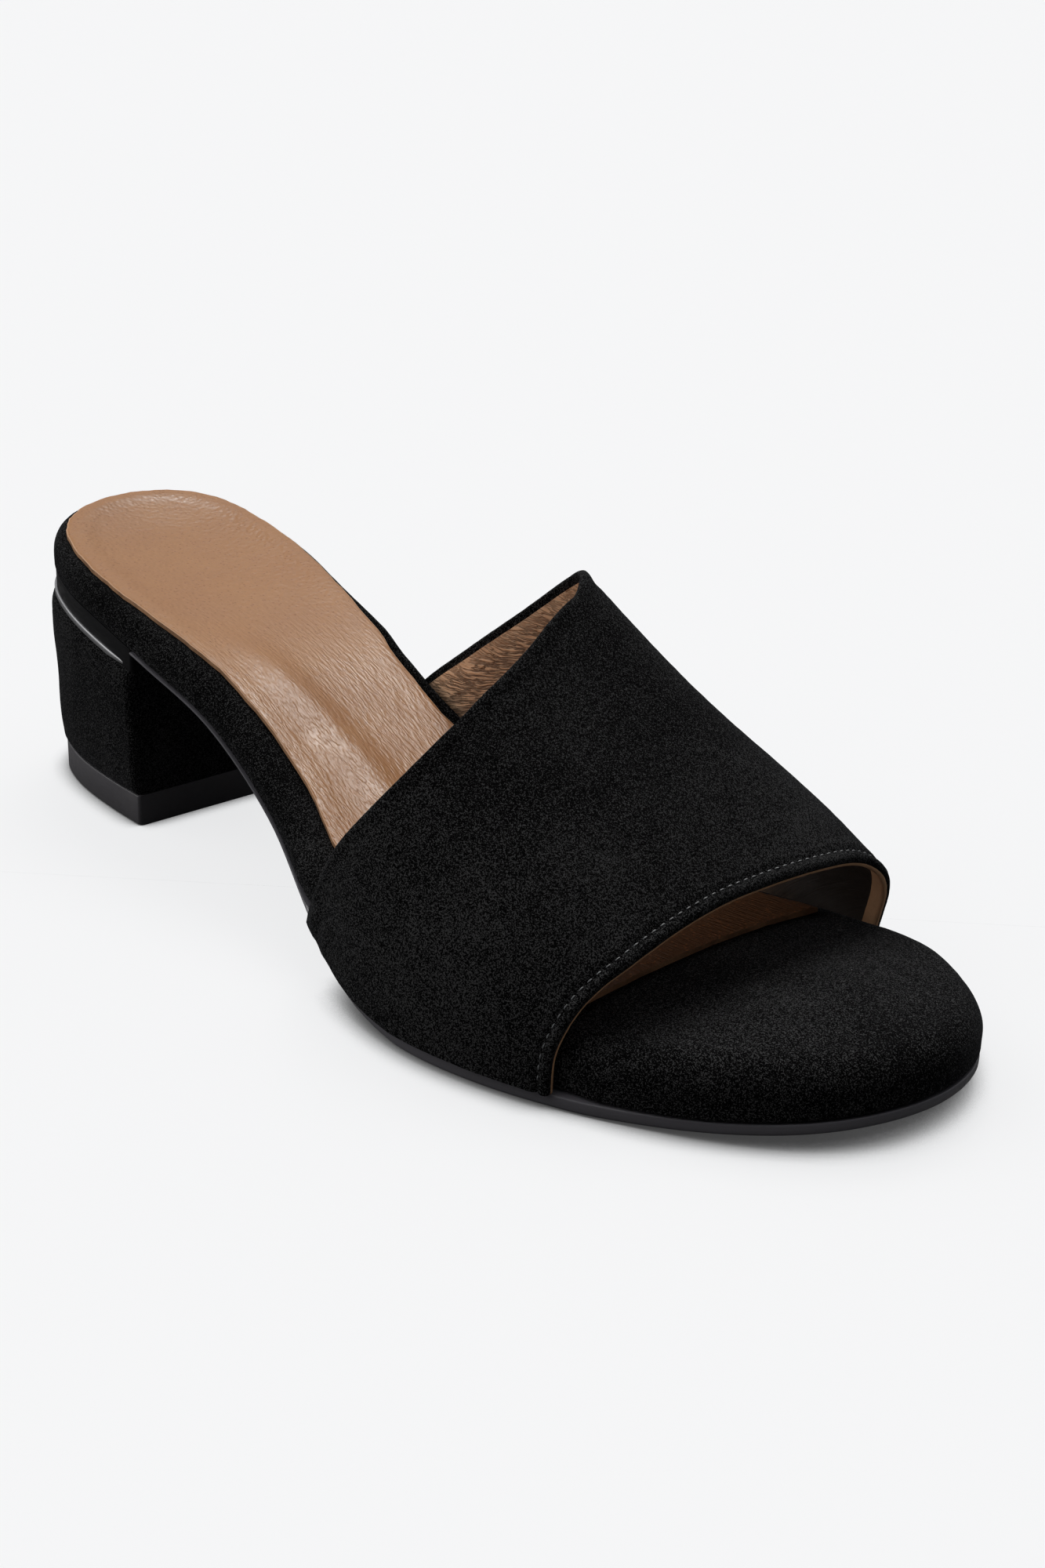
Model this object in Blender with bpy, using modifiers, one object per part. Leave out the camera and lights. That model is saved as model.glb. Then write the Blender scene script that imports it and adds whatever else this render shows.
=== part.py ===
"""Block heel sandal: a right-foot slip-on mule, open at the toe and at the back.

The sole and the upper are worked out from the length, the ball width, the heel height and the
instep height. X runs from the back of the heel to the toe, +Y to the inner side of the foot and
+Z up. Sizes here are in millimetres, and a mesh is made in metres with its origin on the floor
under the middle of the shoe.
"""

from collections import namedtuple

import bmesh
import bpy
import numpy as np

# Driving sizes
LENGTH = 240.0
BALL_WIDTH = 83.5
HEEL_HEIGHT = 49.4
TOE_SPRING = 5.3
INSTEP_HEIGHT = 74.8

# Pieces
GAP = 0.3
UPPER_WALL = 1.8
UPPER_STANDS_OUT = 1.0
BED_SIDE_INSET = 0.3
BED_TUCK = 1.3
BED_TUCK_RUN = 7.0
BED_RIM_RISE = 0.62
BED_FOOT_ROUND = 0.7
SOCK_THICKNESS = 0.9
SOCK_SHARE = 0.97
SOCK_FRONT = 191.0
SOLE_EDGE_ROUND = 0.8

# Heel
BREAST = 54.4
LIFT_HEIGHT = 7.0
LIFT_INSET = 0.9
LIFT_CORNER = 0.8
LIFT_EDGE_ROUND = 0.5
BLOCK_CORNER = 1.6
LEDGE_BACK = 44.3
LEDGE_DROP_PER_MM = 0.178
TRIM_THICKNESS = 1.0
TRIM_WIDTH = 1.5
TRIM_POINT_RUN = 9.0
TRIM_POINT_SHARE = 0.2
NECK_INSET = 1.8

# Mesh fineness
HALF_STEPS = 52
HEEL_STEPS = 16
CORNER_STEPS = 3
BED_RINGS = (0.78, 0.5, 0.22, 0.0)
HEEL_SPINE_START = 21.0
TOE_SPINE_END = 28.0
UPPER_STEPS_ROUND = 38
UPPER_STEPS_ALONG = 24
UPPER_END_EASE = 0.4
NORMAL_STEP = 0.01
SHARP_EDGE = 40.0

# The footbed's rim in section: angle from its side to its top, share of the inner lip there
RimRow = namedtuple("RimRow", "angle lip")
RIM = [
    RimRow(*row)
    for row in (
        (0.0, 0.0),
        (20.0, 0.0),
        (40.0, 0.4),
        (60.0, 1.0),
        (90.0, 0.0),
    )
]

# The sole's outline: half widths from the heel's axis as shares of the ball width, rims in millimetres
PlanRow = namedtuple("PlanRow", "along outer inner outer_rim inner_rim inner_lip")
PLAN = [
    PlanRow(*row)
    for row in (
        (0.00, -0.036, 0.036, 2.2, 2.2, 0.0),
        (0.02, 0.170, 0.240, 2.2, 2.2, 0.0),
        (0.05, 0.259, 0.312, 2.2, 2.2, 0.0),
        (0.10, 0.314, 0.343, 2.3, 2.2, 0.0),
        (0.18, 0.341, 0.337, 2.6, 2.3, 0.0),
        (0.25, 0.343, 0.300, 3.2, 2.4, 0.0),
        (0.35, 0.341, 0.250, 4.6, 2.6, 1.8),
        (0.45, 0.372, 0.243, 6.0, 3.0, 2.4),
        (0.55, 0.460, 0.320, 6.6, 3.8, 2.2),
        (0.62, 0.512, 0.396, 6.8, 4.8, 1.4),
        (0.70, 0.524, 0.474, 7.0, 5.6, 0.4),
        (0.76, 0.491, 0.518, 6.8, 6.0, 0.0),
        (0.82, 0.427, 0.533, 6.6, 6.2, 0.0),
        (0.88, 0.336, 0.500, 6.6, 6.4, 0.0),
        (0.93, 0.243, 0.428, 6.6, 6.6, 0.0),
        (0.97, 0.136, 0.332, 6.6, 6.6, 0.0),
        (1.00, -0.096, 0.096, 6.6, 6.6, 0.0),
    )
]

# The sole's side view: tread as shares of heel height and toe spring, thicknesses in millimetres
SideRow = namedtuple("SideRow", "along heel spring sole bed crown swell")
SIDE = [
    SideRow(*row)
    for row in (
        (0.000, 1.000, 0.00, 1.5, 9.0, -0.5, 0.0),
        (0.100, 0.903, 0.00, 1.5, 8.8, -0.5, 0.0),
        (0.180, 0.834, 0.00, 1.5, 8.6, -0.4, 0.0),
        (0.250, 0.769, 0.00, 1.5, 8.6, -0.3, 0.0),
        (0.350, 0.634, 0.00, 1.5, 8.6, 0.0, 0.0),
        (0.450, 0.411, 0.00, 1.6, 8.6, 0.0, 0.0),
        (0.550, 0.180, 0.00, 1.9, 8.8, 0.2, 0.0),
        (0.620, 0.047, 0.00, 2.4, 9.3, 0.6, 0.0),
        (0.680, 0.000, 0.00, 2.8, 10.2, 1.2, 0.0),
        (0.833, 0.000, 0.00, 2.6, 12.9, 2.4, 0.0),
        (0.896, 0.000, 0.19, 2.4, 13.8, 2.6, 0.8),
        (0.950, 0.000, 0.53, 2.3, 12.9, 2.4, 0.5),
        (1.000, 0.000, 1.00, 2.2, 11.6, 2.2, 0.2),
    )
]

# The upper's sections: ridge as a share of the instep height, sway to the inner side in millimetres
FormRow = namedtuple("FormRow", "along ridge sway outer_fullness inner_fullness")
UPPER_FORM = [
    FormRow(*row)
    for row in (
        (0.375, 1.452, 6.5, 2.15, 2.05),
        (0.479, 1.235, 7.5, 2.18, 2.06),
        (0.583, 1.000, 9.5, 2.20, 2.30),
        (0.688, 0.742, 8.6, 2.22, 2.66),
        (0.792, 0.530, 4.5, 2.23, 3.04),
        (0.896, 0.300, 1.5, 2.25, 3.20),
    )
]

# The upper's edges: turn goes from the outer feather line over the foot to the inner one
EdgeRow = namedtuple("EdgeRow", "turn rear front")
UPPER_EDGES = [
    EdgeRow(*row)
    for row in (
        (0.00, 0.545, 0.815),
        (0.06, 0.572, 0.816),
        (0.14, 0.608, 0.819),
        (0.25, 0.643, 0.832),
        (0.40, 0.639, 0.840),
        (0.55, 0.604, 0.841),
        (0.70, 0.570, 0.838),
        (0.85, 0.489, 0.833),
        (1.00, 0.374, 0.815),
    )
]

# The heel block's side: level from the lift to the ledge, inset from the sole's outline
BlockRow = namedtuple("BlockRow", "level inset")
HEEL_BLOCK = [
    BlockRow(*row)
    for row in (
        (0.00, 1.2),
        (0.03, 0.5),
        (0.08, 0.2),
        (0.50, -0.3),
        (0.86, -0.8),
        (0.94, -0.6),
        (0.98, 0.0),
        (1.00, 0.8),
    )
]

# The floor under the middle of the shoe's box
ORIGIN = np.array([119.6, 0.29, 0.0])
MM = 0.001


def column(table, name):
    return np.array([getattr(row, name) for row in table])


def smooth(stations, values, at):
    """A smooth curve through the values of a table."""
    at = np.asarray(at, float)
    slopes = np.gradient(values, stations)
    low = np.clip(np.searchsorted(stations, at) - 1, 0, len(stations) - 2)
    run = stations[low + 1] - stations[low]
    t = (at - stations[low]) / run
    start = (1 + 2 * t) * (1 - t) ** 2 * values[low] + t * (1 - t) ** 2 * run * slopes[low]
    end = t**2 * (3 - 2 * t) * values[low + 1] + t**2 * (t - 1) * run * slopes[low + 1]
    return start + end


def turn_of(share):
    """The angle that stands for a place along the shoe, so that both ends come out round."""
    return np.arccos(np.clip(1 - 2 * np.asarray(share, float), -1, 1))


def plan_value(name, turn):
    return smooth(turn_of(column(PLAN, "along")), column(PLAN, name), turn)


def half_width(name, x):
    return BALL_WIDTH * plan_value(name, turn_of(x / LENGTH))


def side_value(name, x):
    return smooth(column(SIDE, "along"), column(SIDE, name), np.asarray(x) / LENGTH)


def tread(x):
    """Height of the sole's underside. The forefoot has a flat spot on the floor."""
    height = HEEL_HEIGHT * side_value("heel", x) + TOE_SPRING * side_value("spring", x)
    return np.maximum(height, 0.0)


def sole_top(x):
    return tread(x) + side_value("sole", x)


def bed_top(x, share):
    """Height of the footbed. The share is 1 at the rim and 0 on the middle line."""
    return tread(x) + side_value("bed", x) + side_value("crown", x) * (1 - share**2)


class Outline:
    """A loop in plan: the back of the heel first, then the outer side, the toe and the inner side."""

    def __init__(self, turns):
        x = LENGTH * (1 - np.cos(turns)) / 2
        outer = np.stack([x, -BALL_WIDTH * plan_value("outer", turns)], -1)
        inner = np.stack([x, BALL_WIDTH * plan_value("inner", turns)], -1)
        self.is_whole = bool(np.isclose(turns[-1], np.pi))
        last = -1 if self.is_whole else len(turns)
        self.points = np.concatenate([outer, inner[1:last][::-1]])
        self.is_outer = np.arange(len(self.points)) < len(turns)
        self.turns = np.concatenate([turns, turns[1:last][::-1]])
        self.inward = self.normals(turns)

    def normals(self, turns):
        """The way in at each point, at right angles to the loop."""
        sides = []
        for name, sign in (("outer", -1), ("inner", 1)):
            ends = []
            for turn in (np.maximum(turns - NORMAL_STEP, 0), turns + NORMAL_STEP):
                half = sign * BALL_WIDTH * plan_value(name, turn)
                x = LENGTH * (1 - np.cos(turn)) / 2
                ends.append(np.stack([x, half], -1))
            along = ends[1] - ends[0]
            along /= np.linalg.norm(along, axis=1)[:, None]
            sides.append(np.stack([along[:, 1], -along[:, 0]], -1) * sign)
        sides[0][0] = (1, 0)
        last = len(turns)
        if self.is_whole:
            sides[0][-1] = (-1, 0)
            last = -1
        return np.concatenate([sides[0], sides[1][1:last][::-1]])

    def inset(self, distance):
        return self.points + self.inward * np.broadcast_to(distance, len(self.points))[:, None]

    def rim(self):
        outer = plan_value("outer_rim", self.turns)
        return np.where(self.is_outer, outer, plan_value("inner_rim", self.turns))


def ring(flat, height):
    return np.column_stack([flat, height])


def mates(ring_points):
    """The point of the ring across the shoe from each point."""
    return ring_points[-np.arange(len(ring_points))]


def toward_middle(flat, share):
    """A loop drawn in towards the shoe's middle line."""
    middle = (flat + mates(flat)) / 2
    low, high = flat[:, 0].min(), flat[:, 0].max()
    ends = (low + HEEL_SPINE_START, high - TOE_SPINE_END)
    middle[:, 0] = np.interp(middle[:, 0], (low, high), ends)
    return middle + (flat - middle) * share


def across(count):
    """Faces that close a ring of points whose two sides mirror each other from the first point."""
    faces = []
    first, last = 0, count
    while last - first >= 2:
        corners = [first, first + 1, last - 1, last % count]
        faces.append(list(dict.fromkeys(corners)))
        first += 1
        last -= 1
    return faces


def add_object(name, bm, material):
    bmesh.ops.remove_doubles(bm, verts=bm.verts, dist=0.001 * MM)
    bmesh.ops.dissolve_degenerate(bm, edges=bm.edges, dist=0.001 * MM)
    bmesh.ops.recalc_face_normals(bm, faces=bm.faces)
    mesh = bpy.data.meshes.new(name)
    bm.to_mesh(mesh)
    bm.free()
    mesh.materials.append(material)
    mesh.shade_smooth()
    mesh.set_sharp_from_angle(angle=np.radians(SHARP_EDGE))
    obj = bpy.data.objects.new(name, mesh)
    PARTS.objects.link(obj)
    return obj


def stack(name, rings, material):
    """A closed solid through rings of equal count, from its underside to its top."""
    bm = bmesh.new()
    count = len(rings[0])
    rows = []
    for points in rings:
        rows.append([bm.verts.new((point - ORIGIN) * MM) for point in points])
    for low, high in zip(rows, rows[1:]):
        for i in range(count):
            j = (i + 1) % count
            bm.faces.new((low[i], low[j], high[j], high[i]))
    for row in (rows[0], rows[-1]):
        for face in across(count):
            bm.faces.new([row[i] for i in face])
    return add_object(name, bm, material)


def paint(name, colour, roughness, metallic=0.0):
    material = bpy.data.materials.new(name)
    material.use_nodes = True
    shader = material.node_tree.nodes["Principled BSDF"]
    shader.inputs["Base Color"].default_value = (*colour, 1.0)
    shader.inputs["Roughness"].default_value = roughness
    shader.inputs["Metallic"].default_value = metallic
    return material


def cut_off(obj, low_x, high_x):
    """Takes away what lies between two places along the shoe."""
    bpy.ops.mesh.primitive_cube_add(size=1)
    cutter = bpy.context.active_object
    cutter.name = obj.name + "_cutter"
    middle = np.array([(low_x + high_x) / 2, 0.0, 0.0]) - ORIGIN
    cutter.location = middle * MM
    cutter.scale = np.array([high_x - low_x, 2 * BALL_WIDTH, 4 * HEEL_HEIGHT]) * MM
    cutter.hide_render = True
    cutter.display_type = "WIRE"
    for collection in list(cutter.users_collection):
        collection.objects.unlink(cutter)
    CUTTERS.objects.link(cutter)
    boolean = obj.modifiers.new("cut", "BOOLEAN")
    boolean.operation = "DIFFERENCE"
    boolean.solver = "EXACT"
    boolean.object = cutter


def outsole():
    """Thin sheet sole from the heel breast to the toe."""
    loop = Outline(np.linspace(0, np.pi, HALF_STEPS + 1))
    edge = loop.inset(0.0)
    under = loop.inset(SOLE_EDGE_ROUND)
    rings = [
        ring(under, tread(under[:, 0])),
        ring(edge, tread(edge[:, 0]) + SOLE_EDGE_ROUND),
        ring(edge, sole_top(edge[:, 0]) - GAP),
        ring(loop.inset(GAP), sole_top(loop.inset(GAP)[:, 0])),
    ]
    sole = stack("outsole", rings, BLACK_RUBBER)
    cut_off(sole, -LENGTH, BREAST + GAP)


def upper_foot(name, edge):
    """Where the upper's rear or front edge meets the sole on the outer or the inner side."""
    row = UPPER_EDGES[0] if name == "outer" else UPPER_EDGES[-1]
    return getattr(row, edge) * LENGTH


def bed_side_inset(loop):
    """The footbed's side draws in where the upper is lasted over it."""
    x = loop.points[:, 0]
    tucked = np.zeros(len(x))
    for name, on_side in (("outer", loop.is_outer), ("inner", ~loop.is_outer)):
        rear, front = upper_foot(name, "rear"), upper_foot(name, "front")
        knots = (rear - BED_TUCK_RUN, rear - 1, front + 1, front + BED_TUCK_RUN)
        tucked = np.where(on_side, np.interp(x, knots, (0, 1, 1, 0)), tucked)
    return BED_SIDE_INSET + (BED_TUCK - BED_SIDE_INSET) * tucked - side_value("swell", x)


def footbed():
    """Wrapped platform with a padded, rounded rim and a domed toe."""
    loop = Outline(np.linspace(0, np.pi, HALF_STEPS + 1))
    side, rim = bed_side_inset(loop), loop.rim()
    foot = loop.inset(side + BED_FOOT_ROUND)
    rings = [ring(foot, sole_top(foot[:, 0]) + GAP)]
    x = loop.inset(side)[:, 0]
    rise = BED_RIM_RISE * (bed_top(x, 1) - sole_top(x))
    rings.append(ring(loop.inset(side), sole_top(x) + GAP + BED_FOOT_ROUND))
    lip = np.where(loop.is_outer, 0.0, plan_value("inner_lip", loop.turns))
    for row in RIM:
        angle = np.radians(row.angle)
        flat = loop.inset(side + rim * (1 - np.cos(angle)))
        height = bed_top(flat[:, 0], 1) - rise * (1 - np.sin(angle)) + lip * row.lip
        rings.append(ring(flat, height))
    top = loop.inset(side + rim)
    for share in BED_RINGS:
        flat = toward_middle(top, share)
        rings.append(ring(flat, bed_top(flat[:, 0], share)))
    stack("footbed", rings, BLACK_SUEDE)


def insole():
    """Leather sock on the footbed, from the heel to under the upper."""
    loop = Outline(np.linspace(0, np.pi, HALF_STEPS + 1))
    top = loop.inset(bed_side_inset(loop) + loop.rim())
    shares = (SOCK_SHARE, *BED_RINGS)
    rings = []
    for lift, order in ((GAP, reversed(shares)), (GAP + SOCK_THICKNESS, shares)):
        for share in order:
            flat = toward_middle(top, share)
            rings.append(ring(flat, bed_top(flat[:, 0], share) + lift))
    sock = stack("insole", rings, TAN_LEATHER)
    cut_off(sock, SOCK_FRONT, 2 * LENGTH)


def form_value(name, x):
    return smooth(column(UPPER_FORM, "along"), column(UPPER_FORM, name), x / LENGTH)


def upper_point(x, turn):
    """A point of the upper's outside. The turn goes from 0 at the outer sole to 1 at the inner."""
    angle = np.pi * turn
    is_outer = turn < 0.5
    sway = form_value("sway", x)
    outer_reach = half_width("outer", x) + UPPER_STANDS_OUT + sway
    inner_reach = half_width("inner", x) + UPPER_STANDS_OUT - sway
    reach = np.where(is_outer, outer_reach, inner_reach)
    outer_fullness, inner_fullness = form_value("outer_fullness", x), form_value("inner_fullness", x)
    power = 2 / np.where(is_outer, outer_fullness, inner_fullness)
    foot = sole_top(x) + GAP
    ridge = INSTEP_HEIGHT * form_value("ridge", x)
    y = sway - np.sign(np.cos(angle)) * reach * np.abs(np.cos(angle)) ** power
    z = foot + (ridge - foot) * np.abs(np.sin(angle)) ** power
    return np.stack([x, y, z], -1)


def upper():
    """One wide band over the foot, hollow, open at the toe, at the back and underneath."""
    turns = column(UPPER_EDGES, "turn")
    even = np.linspace(0, 1, UPPER_STEPS_ROUND + 1)
    turn = (1 - UPPER_END_EASE) * even + UPPER_END_EASE * (1 - np.cos(np.pi * even)) / 2
    rear = LENGTH * smooth(turns, column(UPPER_EDGES, "rear"), turn)
    front = LENGTH * smooth(turns, column(UPPER_EDGES, "front"), turn)
    bm = bmesh.new()
    rows = []
    for share in np.linspace(0, 1, UPPER_STEPS_ALONG + 1):
        points = upper_point(rear + (front - rear) * share, turn)
        rows.append([bm.verts.new((point - ORIGIN) * MM) for point in points])
    for low, high in zip(rows, rows[1:]):
        for i in range(UPPER_STEPS_ROUND):
            bm.faces.new((low[i], high[i], high[i + 1], low[i + 1]))
    mesh = bpy.data.meshes.new("upper")
    bm.to_mesh(mesh)
    bm.free()
    mesh.materials.append(BLACK_SUEDE)
    mesh.shade_smooth()
    obj = bpy.data.objects.new("upper", mesh)
    PARTS.objects.link(obj)
    wall = obj.modifiers.new("wall", "SOLIDIFY")
    wall.thickness = UPPER_WALL * MM
    wall.offset = -1
    wall.use_even_offset = True


def ledge(x):
    """Height of the sloping ledge that the trim lies on."""
    return LEDGE_BACK - LEDGE_DROP_PER_MM * x


def heel_loop(inset, corner):
    """The heel's D shape in plan: the sole's outline behind a straight breast, with round corners."""
    last = turn_of((BREAST - corner) / LENGTH)
    loop = Outline(np.linspace(0, last, HEEL_STEPS + 1))
    points = loop.inset(inset)
    outer, inner = points[HEEL_STEPS], points[HEEL_STEPS + 1]
    angles = np.radians(np.linspace(90, 0, CORNER_STEPS + 1))[:-1] * -1
    bend = np.stack([corner * np.cos(angles), corner * np.sin(angles)], -1)
    bend = np.concatenate([bend[1:], [[corner, 0.0]]])
    start = np.array([BREAST - corner, outer[1] + corner])
    end = np.array([BREAST - corner, inner[1] - corner])
    outer_bend = start + bend
    inner_bend = end + (bend * (1, -1))[::-1]
    outer_side, inner_side = points[: HEEL_STEPS + 1].copy(), points[HEEL_STEPS + 1 :].copy()
    outer_side[-1, 0] = BREAST - corner
    inner_side[0, 0] = BREAST - corner
    return np.concatenate([outer_side, outer_bend, inner_bend, inner_side])


def heel_block():
    """Wrapped block with a flat breast, a round back and a soft shoulder."""
    rings = []
    foot = LIFT_HEIGHT + GAP
    for row in HEEL_BLOCK:
        flat = heel_loop(row.inset, BLOCK_CORNER)
        rings.append(ring(flat, foot + row.level * (ledge(flat[:, 0]) - foot)))
    stack("heel_block", rings, BLACK_SUEDE)


def top_lift():
    """Hard lift that the heel stands on."""
    under = heel_loop(LIFT_INSET + LIFT_EDGE_ROUND, LIFT_CORNER)
    edge = heel_loop(LIFT_INSET, LIFT_CORNER)
    rings = [
        ring(under, np.zeros(len(under))),
        ring(edge, np.full(len(edge), LIFT_EDGE_ROUND)),
        ring(edge, np.full(len(edge), LIFT_HEIGHT)),
    ]
    stack("top_lift", rings, BLACK_RUBBER)


def heel_neck():
    """Smooth band between the ledge and the footbed."""
    flat = heel_loop(NECK_INSET, LIFT_CORNER)
    low = ring(flat, ledge(flat[:, 0]) + GAP)
    high = ring(flat, sole_top(flat[:, 0]))
    stack("heel_neck", [low, high], BLACK_RUBBER)


def heel_trim():
    """Thin metal strip round the back and sides of the ledge, drawn to a point at the breast."""
    loop = Outline(np.linspace(0, turn_of(BREAST / LENGTH), HEEL_STEPS + CORNER_STEPS + 1))
    count = len(loop.points)
    order = (np.arange(count) + count // 2 + 1) % count
    from_breast = BREAST - loop.points[order, 0]
    width = TRIM_WIDTH * np.clip(from_breast / TRIM_POINT_RUN, TRIM_POINT_SHARE, 1.0)
    inner = loop.inset(NECK_INSET - GAP)[order]
    outer = loop.points[order] + loop.inward[order] * (NECK_INSET - GAP - width)[:, None]
    base, rise = 2 * GAP, TRIM_THICKNESS
    bm = bmesh.new()
    rows = []
    for flat, lift in ((inner, base), (outer, base), (outer, base + rise), (inner, base + rise)):
        points = ring(flat, ledge(flat[:, 0]) + lift)
        rows.append([bm.verts.new((point - ORIGIN) * MM) for point in points])
    for low, high in zip(rows, rows[1:] + rows[:1]):
        for i in range(count - 1):
            bm.faces.new((low[i], low[i + 1], high[i + 1], high[i]))
    for i in (0, count - 1):
        bm.faces.new([row[i] for row in rows])
    add_object("heel_trim", bm, SATIN_METAL)


for old in list(bpy.data.objects):
    bpy.data.objects.remove(old, do_unlink=True)
PARTS = bpy.data.collections.new("block_heel_sandal")
CUTTERS = bpy.data.collections.new("cutters")
for collection in (PARTS, CUTTERS):
    bpy.context.scene.collection.children.link(collection)
BLACK_SUEDE = paint("black_suede", (0.008, 0.008, 0.009), 0.95)
BLACK_RUBBER = paint("black_rubber", (0.03, 0.028, 0.034), 0.5)
TAN_LEATHER = paint("tan_leather", (0.42, 0.23, 0.13), 0.5)
SATIN_METAL = paint("satin_metal", (0.45, 0.45, 0.47), 0.35, 1.0)
for make in (outsole, footbed, insole, upper, heel_block, top_lift, heel_neck, heel_trim):
    make()
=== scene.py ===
"""Looks of a right-foot block heel sandal: a slip-on mule in black suede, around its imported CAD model."""

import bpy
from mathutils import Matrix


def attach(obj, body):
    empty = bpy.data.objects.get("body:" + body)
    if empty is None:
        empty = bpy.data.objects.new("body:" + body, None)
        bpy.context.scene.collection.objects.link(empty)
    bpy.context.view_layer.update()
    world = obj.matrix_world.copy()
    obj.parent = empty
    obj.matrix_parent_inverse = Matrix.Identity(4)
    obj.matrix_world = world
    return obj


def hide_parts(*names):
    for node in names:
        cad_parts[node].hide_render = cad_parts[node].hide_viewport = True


bl_info = {
    "name": "Block heel sandal",
    "version": (1, 0, 0),
    "blender": (4, 5, 0),
    "location": "View3D > Sidebar > Sandal",
    "description": "Builds a suede block heel sandal and a plain studio around its CAD model",
    "category": "Object",
}

import bpy
import numpy as np
from bpy.props import FloatProperty, FloatVectorProperty, PointerProperty
from mathutils import Matrix, Vector

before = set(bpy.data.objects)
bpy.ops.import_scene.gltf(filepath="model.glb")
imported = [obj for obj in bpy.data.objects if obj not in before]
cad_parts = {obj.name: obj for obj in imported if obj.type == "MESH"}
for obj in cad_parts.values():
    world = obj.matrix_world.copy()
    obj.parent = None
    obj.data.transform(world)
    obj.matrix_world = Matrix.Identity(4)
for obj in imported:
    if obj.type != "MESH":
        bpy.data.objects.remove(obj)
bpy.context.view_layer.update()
MM = 0.001

# The floor under the middle of the shoe's box, in the sole's own millimetres from the back of the heel
ORIGIN = np.array([119.6, 0.29, 0.0])


def length_property(name, default, description):
    return FloatProperty(name=name, description=description, default=default * MM, unit="LENGTH", precision=5)


def colour_property(name, default, description):
    return FloatVectorProperty(
        name=name, description=description, default=default, size=3, min=0, max=1, subtype="COLOR"
    )


class SandalSizes(bpy.types.PropertyGroup):
    """Sizes of the sandal's pieces."""

    length: length_property("Sole length", 240.0, "From the back of the heel to the toe")
    ball_width: length_property("Ball width", 83.5, "Widest part of the forefoot")
    heel_height: length_property("Heel height", 49.4, "From the floor to the sole's underside at the back")
    toe_spring: length_property("Toe spring", 5.3, "How far the toe stands off the floor")
    instep_height: length_property("Instep height", 74.8, "Ridge of the last where the foot is highest")
    upper_wall: length_property("Upper wall", 1.8, "Suede, lining and what lies between them")
    fold_width: length_property("Folded edge", 1.1, "Suede turned over the top line, seen on the inside")
    edge_wall: length_property("Wall at the edge", 1.35, "Thickness of the folded top line")
    sock_thickness: length_property("Sock thickness", 0.9, "Leather sock on the footbed")
    stitch_inset: length_property("Stitch inset", 2.1, "From the front opening's edge to its row of stitches")
    stitch_pitch: length_property("Stitch pitch", 1.95, "From one stitch to the next")
    stitch_length: length_property("Stitch length", 1.05, "Thread seen between two needle holes")
    thread_radius: length_property("Thread radius", 0.15, "Half the thickness of the thread")
    breast: length_property("Heel breast", 54.4, "From the back of the heel to its flat front")
    lift_height: length_property("Lift height", 7.0, "Hard lift under the heel")


class SandalColours(bpy.types.PropertyGroup):
    """Colours of the sandal's finishes."""

    suede: colour_property("Suede", (0.0008, 0.0008, 0.0009), "Black suede with its nap laid down")
    suede_brushed: colour_property("Brushed suede", (0.056, 0.056, 0.057), "Black suede with its nap raised")
    sock: colour_property("Sock", (0.516, 0.256, 0.109), "Tan leather of the sock")
    sock_deep: colour_property("Sock, deep", (0.345, 0.139, 0.056), "Tan leather in its hollows")
    lining: colour_property("Lining", (0.95, 0.60, 0.37), "Tan leather inside the upper")
    raw_edge: colour_property("Raw edge", (0.62, 0.36, 0.20), "Cut edge of the tan leather")
    sole: colour_property("Sole", (0.120, 0.115, 0.130), "Smooth black sole")
    lift: colour_property("Lift", (0.078, 0.074, 0.082), "Hard rubber lift")
    # The neck's colour is darker than its own black: partly a black band, partly painted shade under the footbed.
    neck: colour_property("Neck", (0.005, 0.005, 0.006), "Smooth black band under the footbed")
    trim: colour_property("Trim", (0.36, 0.36, 0.37), "Satin strip round the heel")
    thread: colour_property("Thread", (0.20, 0.21, 0.22), "Grey sewing thread")
    floor: colour_property("Floor", (0.185, 0.185, 0.185), "Studio floor and its backdrop")


def table(fields, *rows):
    """The columns of a table by their names."""
    return dict(zip(fields.split(), np.array(rows, float).T))


# The sole in plan: half widths as shares of the ball width, rims and lip in millimetres
PLAN = table(
    "along outer inner outer_rim inner_rim inner_lip",
    (0.00, -0.036, 0.036, 2.2, 2.2, 0.0),
    (0.02, 0.170, 0.240, 2.2, 2.2, 0.0),
    (0.05, 0.259, 0.312, 2.2, 2.2, 0.0),
    (0.10, 0.314, 0.343, 2.3, 2.2, 0.0),
    (0.18, 0.341, 0.337, 2.6, 2.3, 0.0),
    (0.25, 0.343, 0.300, 3.2, 2.4, 0.0),
    (0.35, 0.341, 0.250, 4.6, 2.6, 1.8),
    (0.45, 0.372, 0.243, 6.0, 3.0, 2.4),
    (0.55, 0.460, 0.320, 6.6, 3.8, 2.2),
    (0.62, 0.512, 0.396, 6.8, 4.8, 1.4),
    (0.70, 0.524, 0.474, 7.0, 5.6, 0.4),
    (0.76, 0.491, 0.518, 6.8, 6.0, 0.0),
    (0.82, 0.427, 0.533, 6.6, 6.2, 0.0),
    (0.88, 0.336, 0.500, 6.6, 6.4, 0.0),
    (0.93, 0.243, 0.428, 6.6, 6.6, 0.0),
    (0.97, 0.136, 0.332, 6.6, 6.6, 0.0),
    (1.00, -0.096, 0.096, 6.6, 6.6, 0.0),
)

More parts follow.
